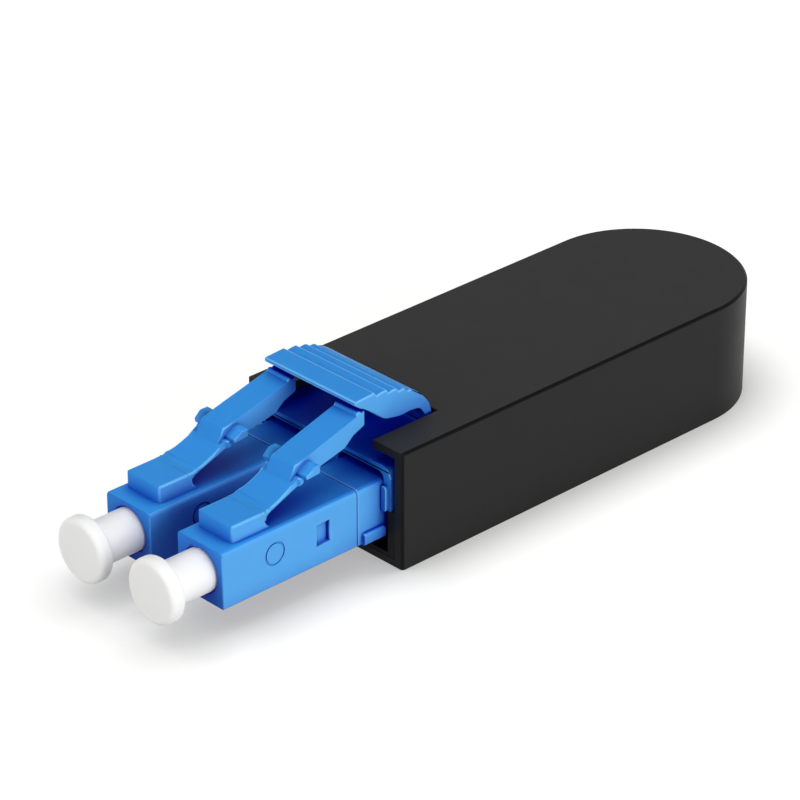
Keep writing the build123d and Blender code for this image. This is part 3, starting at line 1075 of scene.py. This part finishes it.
@dataclass
class Studio:
    """Floor, light and camera. They aren't part of the object."""

    target: Vector = field(default_factory=lambda: Vector((-1.935, -0.770, 5.0)) * MM)
    camera_azimuth: float = 46.456
    camera_elevation: float = 28.175
    camera_distance: float = 230.886 * MM
    camera_clip: Range = (0.01, 20.0)
    lens: float = 172.45
    sensor: float = 36.0
    floor_width: float = 6.0
    floor_colour: Colour = (0.50, 0.49, 0.47)
    floor_shown: Colour = (0.30, 0.30, 0.29)
    # The floor's painted contact shadow: how far off the object still darkens it, and the openness at which
    # it is darkest
    contact_reach: float = 4.0 * MM
    contact_open: float = 0.12
    lift: float = 0.80
    deep_lift: float = 0.38
    far_lift: float = 1.0
    near_radius: float = 0.10
    far_radius: float = 0.50
    sky_low: float = 0.18
    sky_high: float = 1.02
    ceiling: float = 0.30
    horizon: Range = (0.10, 0.40)
    lamps: tuple[Softbox, ...] = (
        Softbox("right_softbox", azimuth=95.0, elevation=15.0, distance=0.70, width=0.45, level=0.72),
        Softbox("front_softbox", azimuth=350.0, elevation=15.0, distance=0.80, width=0.50, level=0.38),
    )

    def build(self) -> None:
        """Sets the floor, the lamps, the sky and the camera."""
        self.lay_floor()
        for lamp in self.lamps:
            lamp.build(self.target)
        self.paint_sky()
        self.place_camera()
        bpy.context.scene.view_settings.view_transform = "Standard"
        LOG.info("set the studio, %d lamps", len(self.lamps))

    def lay_floor(self) -> None:
        """Lays a wide pale floor that shows as white where no shadow falls, with its real shadows and a
        painted contact shadow near the object.
        """
        bpy.ops.object.select_all(action="DESELECT")
        bpy.ops.mesh.primitive_plane_add(size=self.floor_width, location=(0.0, 0.0, 0.0))
        floor = bpy.context.object
        floor.name = "studio_floor"
        material, tree, shader = node_tree("floor_white")
        shader.inputs["Roughness"].default_value = 1.0
        shader.inputs["Specular IOR Level"].default_value = 0.0
        shader.inputs["Emission Color"].default_value = (1.0, 1.0, 1.0, 1.0)
        colour = tint(tree, shown(tree), self.floor_colour, self.floor_shown)
        tree.links.new(colour, shader.inputs["Base Color"])
        lift = reckon(tree, "MULTIPLY", shown(tree), self.floor_lift(tree))
        tree.links.new(lift, shader.inputs["Emission Strength"])
        floor.data.materials.append(material)

    def floor_lift(self, tree: Tree) -> Socket:
        """Works out how much the shown floor is lifted towards white; near the object the lift follows its
        openness, which paints a soft contact shadow.

        Args:
            tree: the floor's nodes.

        Returns:
            The lift: little where the object stands, more in the open, and all of it far away.
        """
        # Painted contact shadow: the lift falls where the floor lies enclosed near the object
        near = ranged(tree, openness(tree, self.contact_reach), (self.contact_open, 1.0), (0.0, self.lift))
        distance = tree.nodes.new("ShaderNodeVectorMath")
        distance.operation = "LENGTH"
        tree.links.new(own_place(tree), distance.inputs[0])
        far = ranged(tree, distance.outputs["Value"], (self.near_radius, self.far_radius),
                     (self.deep_lift, self.far_lift))
        return reckon(tree, "MAXIMUM", near, far)

    def paint_sky(self) -> None:
        """Makes a sky that lights softly from above and shows as white, with a greyer ceiling."""
        world = bpy.data.worlds.new("studio_sky")
        bpy.context.scene.world = world
        world.use_nodes = True
        tree = world.node_tree
        background = next(n for n in tree.nodes if n.type == "BACKGROUND")
        background.inputs["Color"].default_value = (1.0, 1.0, 1.0, 1.0)
        coords = tree.nodes.new("ShaderNodeTexCoord")
        direction = tree.nodes.new("ShaderNodeSeparateXYZ")
        tree.links.new(coords.outputs["Generated"], direction.inputs["Vector"])
        height = direction.outputs["Z"]
        seen = ranged(tree, height, self.horizon, (1.0, self.ceiling))
        squared = reckon(tree, "MULTIPLY", height, height)
        light = ranged(tree, squared, target=(self.sky_low, self.sky_high))
        level = ranged(tree, shown(tree))
        tree.links.new(light, level.node.inputs["To Min"])
        tree.links.new(seen, level.node.inputs["To Max"])
        tree.links.new(level, background.inputs["Strength"])

    def place_camera(self) -> None:
        """Places the camera where the photograph was taken from."""
        camera = bpy.data.cameras.new("studio_camera")
        camera.lens = self.lens
        camera.sensor_width = self.sensor
        camera.clip_start, camera.clip_end = self.camera_clip
        holder = placed("studio_camera", camera)
        aim(holder, self.target, self.camera_azimuth, self.camera_elevation, self.camera_distance)
        bpy.context.scene.camera = holder


def main() -> None:
    """Builds the module's looks and the studio."""
    logging.basicConfig(level=logging.INFO, format="%(name)s: %(message)s")
    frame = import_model()
    shop = Workshop(frame)
    for assembly in (Sleeve(), Clip(), Plug(Side.A), Plug(Side.B), FibreTurn()):
        assembly.build(shop)
    Studio().build()


if __name__ == "__main__":
    main()
